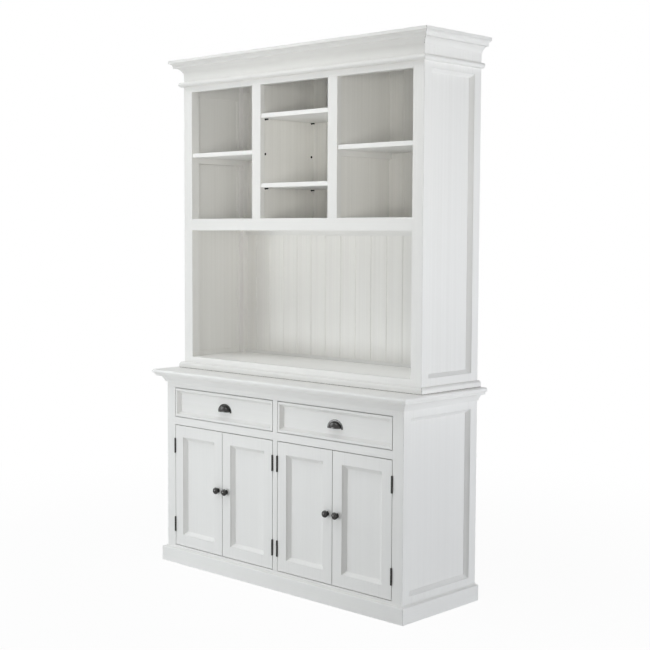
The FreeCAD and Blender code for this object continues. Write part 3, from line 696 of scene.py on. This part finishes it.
def pressed_plate(width, height, thickness):
    """Makes a thin plate with cut corners, a rounded rim and a shallow dimple in its middle."""
    shape = bmesh.new()
    rows = []
    cut = plate_cut * height
    shoulder = plate_shoulder * thickness
    for inset, level in ((0, -thickness), (0, shoulder), (plate_rim * height, thickness)):
        u = width / 2 - inset
        v = height / 2 - inset
        right = [(u - cut, -v), (u, cut - v), (u, v - cut), (u - cut, v)]
        outline = right + [(-x, -y) for x, y in right]
        rows.append([(x, y, level) for x, y in outline])
    rows.append([(dimple_share * x, dimple_share * y, z) for x, y, z in rows[-1]])
    rows.append([(dimple_floor * x, dimple_floor * y, dimple_level * z) for x, y, z in rows[-1]])
    rows = [[shape.verts.new(corner) for corner in row] for row in rows]
    for lower, upper in zip(rows, rows[1:]):
        for step in range(len(lower)):
            after = (step + 1) % len(lower)
            shape.faces.new((lower[step], lower[after], upper[after], upper[step]))
    shape.faces.new(rows[-1])
    shape.faces.new(rows[0][::-1])
    return shape


def fit(name, body, material, shape, places):
    """Adds copies of one shape as one piece. A place is a centre, the way it looks and a turn about that."""
    mesh = bpy.data.meshes.new(name)
    shape.normal_update()
    shape.to_mesh(mesh)
    joined = bmesh.new()
    for centre, look, spin in places:
        count = len(joined.verts)
        joined.from_mesh(mesh)
        joined.verts.ensure_lookup_table()
        way = Vector(look).to_track_quat("Z", "Y").to_matrix().to_4x4()
        move = Matrix.Translation(centre) @ way @ Matrix.Rotation(spin, 4, "Z")
        bmesh.ops.transform(joined, matrix=move, verts=joined.verts[count:])
    bmesh.ops.recalc_face_normals(joined, faces=joined.faces[:])
    joined.to_mesh(mesh)
    piece = bpy.data.objects.new(name, mesh)
    bpy.context.scene.collection.objects.link(piece)
    piece.data.materials.append(material)
    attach(piece, body)


def any_turn():
    """Draws the turn at which a screw came to rest."""
    return random.uniform(0, math.pi)


def fit_hinge_screws():
    """Adds three screws in each hinge leaf."""
    frame_places = []
    for number in door_numbers:
        leaves_low, leaves_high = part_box("door_%d_hinge_leaves" % number)
        axis_x = (leaves_low.x + leaves_high.x) / 2
        side = 1 if number % 2 else -1
        door_places = []
        for low in hinge_bottoms:
            for rise, inset in hinge_screws:
                y = leaf_high.y - inset
                spin = any_turn()
                door_places.append(((axis_x + side * leaf_gap, y, low + rise), (-side, 0, 0), spin))
                frame_places.append(((axis_x - side * leaf_gap, y, low + rise), (side, 0, 0), spin + 1))
        body = "door_%d" % number
        fit(body + "_hinge_screws", body, steel, screw_head(*hinge_screw), door_places)
    fit("hinge_frame_screws", "cabinet", steel, screw_head(*hinge_screw), frame_places)


def fit_drawer_screws():
    """Adds the pins of the cup pulls, their bolts inside the drawers, and the screws of the drawer fronts."""
    for name, middle in (("left", -drawer_middle), ("right", drawer_middle)):
        body = "drawer_" + name
        pins = []
        bolts = []
        screws = []
        for x in (middle - pull_foot, middle + pull_foot):
            pins.append(((x, pull_foot_y, pull_z), ahead, any_turn()))
            bolts.append(((x, drawer_inner_y, pull_z), behind, any_turn()))
        for x in (middle - drawer_screw_x, middle + drawer_screw_x):
            for rise in drawer_screw_rises:
                screws.append(((x, drawer_inner_y, drawer_low.z + rise), behind, any_turn()))
        fit(body + "_pull_pins", body, pewter, screw_head(*pull_pin), pins)
        fit(body + "_pull_bolts", body, bright_steel, screw_head(*pull_bolt), bolts)
        fit(body + "_front_screws", body, bright_steel, screw_head(*front_screw), screws)


def fit_back_screws():
    """Adds the screws round the back panels."""
    edge_x = back_panel_high.x - back_edge_inset
    spots = [(edge_x, z) for z in hutch_edge_heights]
    spots += [(x, z) for z in hutch_row_heights for x in hutch_row_x]
    spots += [(edge_x, z) for z in base_edge_heights]
    spots += [(x, base_row_height) for x in base_row_x]
    spots += [(0, z) for z in base_middle_heights]
    places = []
    for x, z in spots:
        for sign in ((-1, 1) if x else (1,)):
            places.append(((sign * x, back_panel_high.y, z), behind, any_turn()))
    fit("back_screws", "cabinet", bright_steel, screw_head(*back_screw), places)


def fit_catch_plates():
    """Adds the poles of the magnetic catches and the strike plates behind the doors."""
    pole_places = [middle + side * pole_x for middle in (-drawer_middle, drawer_middle) for side in (-1, 1)]
    poles = [((x, catch_low.y, pole_z), ahead, 0) for x in pole_places]
    fit("catch_poles", "cabinet", bright_steel, pressed_plate(*pole_plate), poles)
    for number, x in zip(door_numbers, pole_places):
        body = "door_%d" % number
        strike = [((x, door_high.y, pole_z), behind, 0)]
        fit(body + "_strike", body, bright_steel, pressed_plate(*strike_plate), strike)


def fit_hole_shade_sleeves():
    """Adds near-black flanged sleeves in the spare pin holes of the dividers, as painted shade inside the
    holes.
    """
    places = []
    for side in (-1, 1):
        for y in pin_hole_places:
            places.append(((side * divider_face, y, pin_hole_z), (-side, 0, 0), 0))
    fit("pin_hole_shade_sleeves", "cabinet", hole_shade_steel, lathe(sleeve_section), places)


def direct_view(tree):
    """Gives 1 for what the camera sees straight, mirrored or through glass, and else 0."""
    path = add(tree, "ShaderNodeLightPath").outputs
    mirrored = calc(tree, "MAXIMUM", path["Is Glossy Ray"], path["Is Transmission Ray"])
    return calc(tree, "MAXIMUM", path["Is Camera Ray"], mirrored)


def make_floor():
    """Makes the pale floor. To the camera it is nearly white, and it keeps the shadow."""
    bpy.ops.mesh.primitive_plane_add(size=floor_size, location=(0, 0, 0))
    floor = bpy.context.object
    floor.name = "floor"
    material = bpy.data.materials.new("floor_white")
    material.use_nodes = True
    tree = material.node_tree
    tree.nodes.clear()
    place = add(tree, "ShaderNodeTexCoord").outputs["Object"]
    colour = blend_colour(tree, noise(tree, place, *floor_noise), floor_colour, floor_cloud)
    lit = add(tree, "ShaderNodeBsdfDiffuse", {"Color": colour}).outputs[0]
    glow = add(tree, "ShaderNodeEmission", {"Color": white, "Strength": 1.0}).outputs[0]
    away = add(tree, "ShaderNodeVectorMath", {0: place}, operation="LENGTH").outputs["Value"]
    fade = {"Value": away, "From Min": shadow_reach, "From Max": shadow_end, "To Min": floor_whiteness}
    whiteness = add(tree, "ShaderNodeMapRange", fade, interpolation_type="SMOOTHSTEP").outputs[0]
    share = calc(tree, "MULTIPLY", direct_view(tree), whiteness)
    mix = add(tree, "ShaderNodeMixShader", {0: share, 1: lit, 2: glow})
    add(tree, "ShaderNodeOutputMaterial", {"Surface": mix.outputs[0]})
    floor.data.materials.append(material)


def make_world():
    """Makes an even pale surrounding that the camera sees as white."""
    world = bpy.data.worlds.new("studio")
    bpy.context.scene.world = world
    world.use_nodes = True
    tree = world.node_tree
    tree.nodes.clear()
    soft = {"Color": world_colour, "Strength": world_strength}
    light = add(tree, "ShaderNodeBackground", soft).outputs[0]
    backdrop = add(tree, "ShaderNodeBackground", {"Color": white, "Strength": 1.0}).outputs[0]
    mix = add(tree, "ShaderNodeMixShader", {0: direct_view(tree), 1: light, 2: backdrop})
    add(tree, "ShaderNodeOutputWorld", {"Surface": mix.outputs[0]})


def make_lamp(name, place, target, size, power, colour, spread):
    """Makes a soft square lamp that shines at a point. spread is the angle of its light in degrees."""
    data = bpy.data.lights.new(name, "AREA")
    data.size = size
    data.energy = power
    data.color = colour
    data.spread = math.radians(spread)
    lamp = bpy.data.objects.new(name, data)
    bpy.context.scene.collection.objects.link(lamp)
    lamp.location = place
    lamp.rotation_euler = (Vector(target) - Vector(place)).to_track_quat("-Z", "Y").to_euler()


def make_camera():
    """Makes the camera, with the place, turn and lens that were fitted to the photograph."""
    data = bpy.data.cameras.new("camera")
    data.sensor_width = sensor_width
    data.lens = camera_lens
    camera = bpy.data.objects.new("camera", data)
    bpy.context.scene.collection.objects.link(camera)
    turn = Matrix.Rotation(math.radians(camera_yaw), 4, "Z")
    turn = turn @ Matrix.Rotation(math.radians(90 - camera_pitch), 4, "X")
    turn = turn @ Matrix.Rotation(math.radians(camera_roll), 4, "Z")
    camera.matrix_world = Matrix.Translation(camera_place) @ turn
    bpy.context.scene.camera = camera


dress_boards()
dress_rails()
dress_side_frames()
dress_doors()
dress_drawers()
dress_mouldings()
dress_fittings()

fit_hinge_screws()
fit_drawer_screws()
fit_back_screws()
fit_catch_plates()
fit_hole_shade_sleeves()

make_world()
make_floor()
for lamp in lamps:
    make_lamp(*lamp)
make_camera()
bpy.context.scene.view_settings.view_transform = "Standard"
